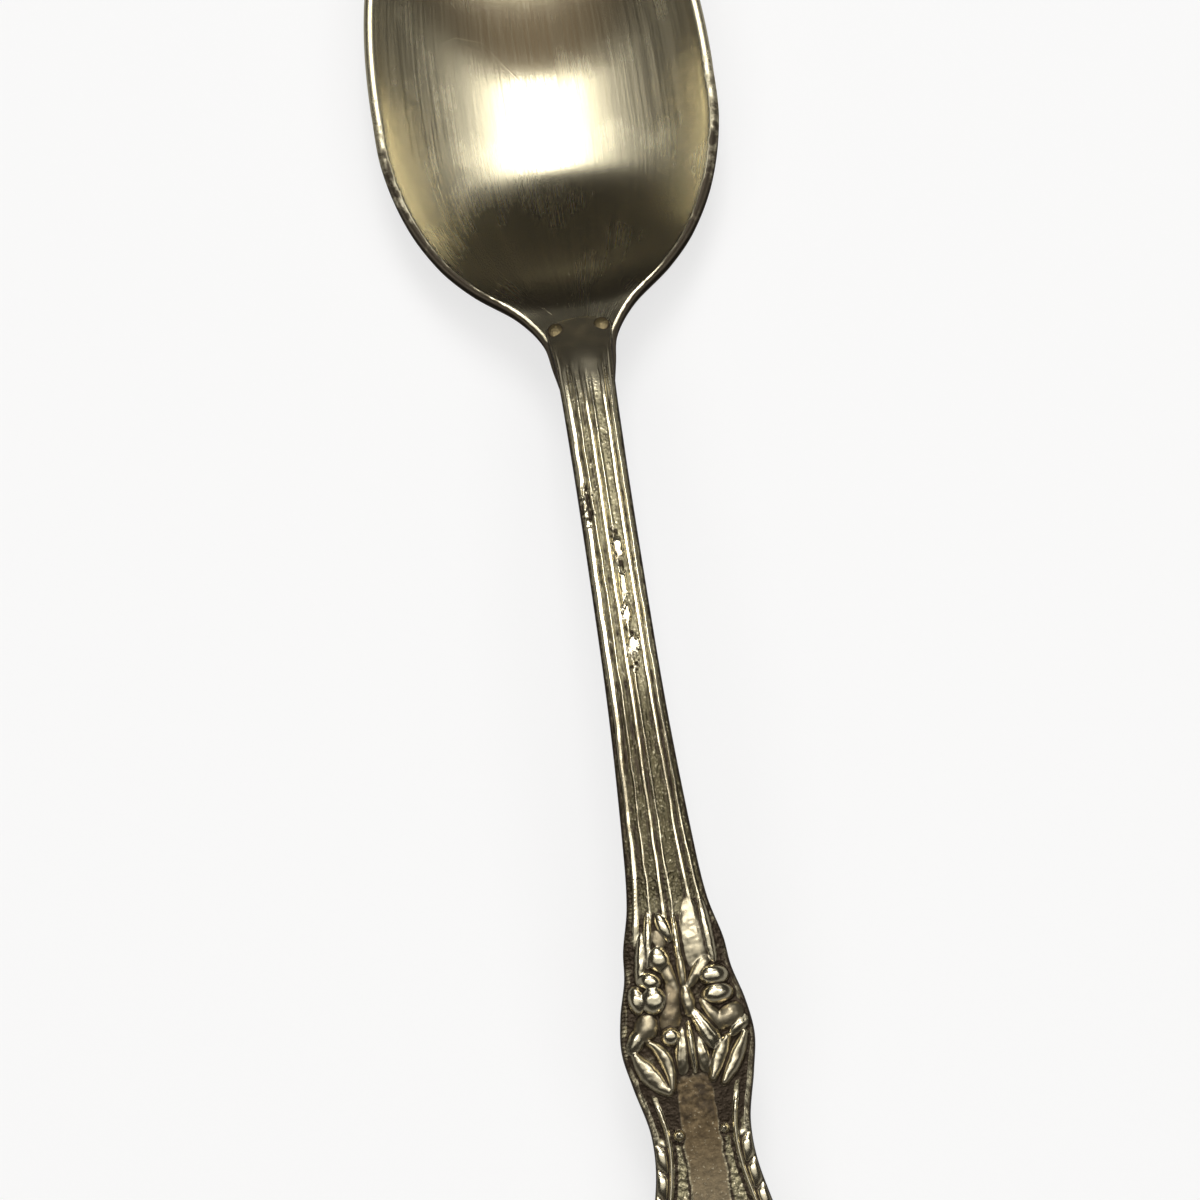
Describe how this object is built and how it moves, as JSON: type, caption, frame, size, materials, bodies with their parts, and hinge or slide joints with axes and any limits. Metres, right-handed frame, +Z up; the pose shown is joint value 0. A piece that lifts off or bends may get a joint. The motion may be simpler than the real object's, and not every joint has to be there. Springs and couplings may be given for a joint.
{
  "type": "teaspoon",
  "caption": "Ornate metal teaspoon: an egg-shaped polished bowl lapped and riveted under a cast handle with a reeded stem, a flower and scroll boss, and a bordered panel at its end.",
  "frame": {"origin": "on the table under the middle of the spoon's length and width, as it rests bowl up", "axes": "+Y along the spoon towards the bowl's tip, +Z up out of the bowl, +X across to the right with the handle towards the viewer"},
  "size_m": [0.0318, 0.152, 0.0174],
  "materials": {
    "polished_bowl": "polished sheet with fine lengthwise brush marks and scratches",
    "cast_handle": "cast relief, worn bright on the high places, with brown tarnish in the recesses",
    "rivet_metal": "worn domed heads with a dark ring of tarnish"
  },
  "bodies": {
    "root": {"bowl": "polished_bowl", "handle": "cast_handle", "rivet_left": "rivet_metal", "rivet_right": "rivet_metal"}
  },
  "joints": []
}
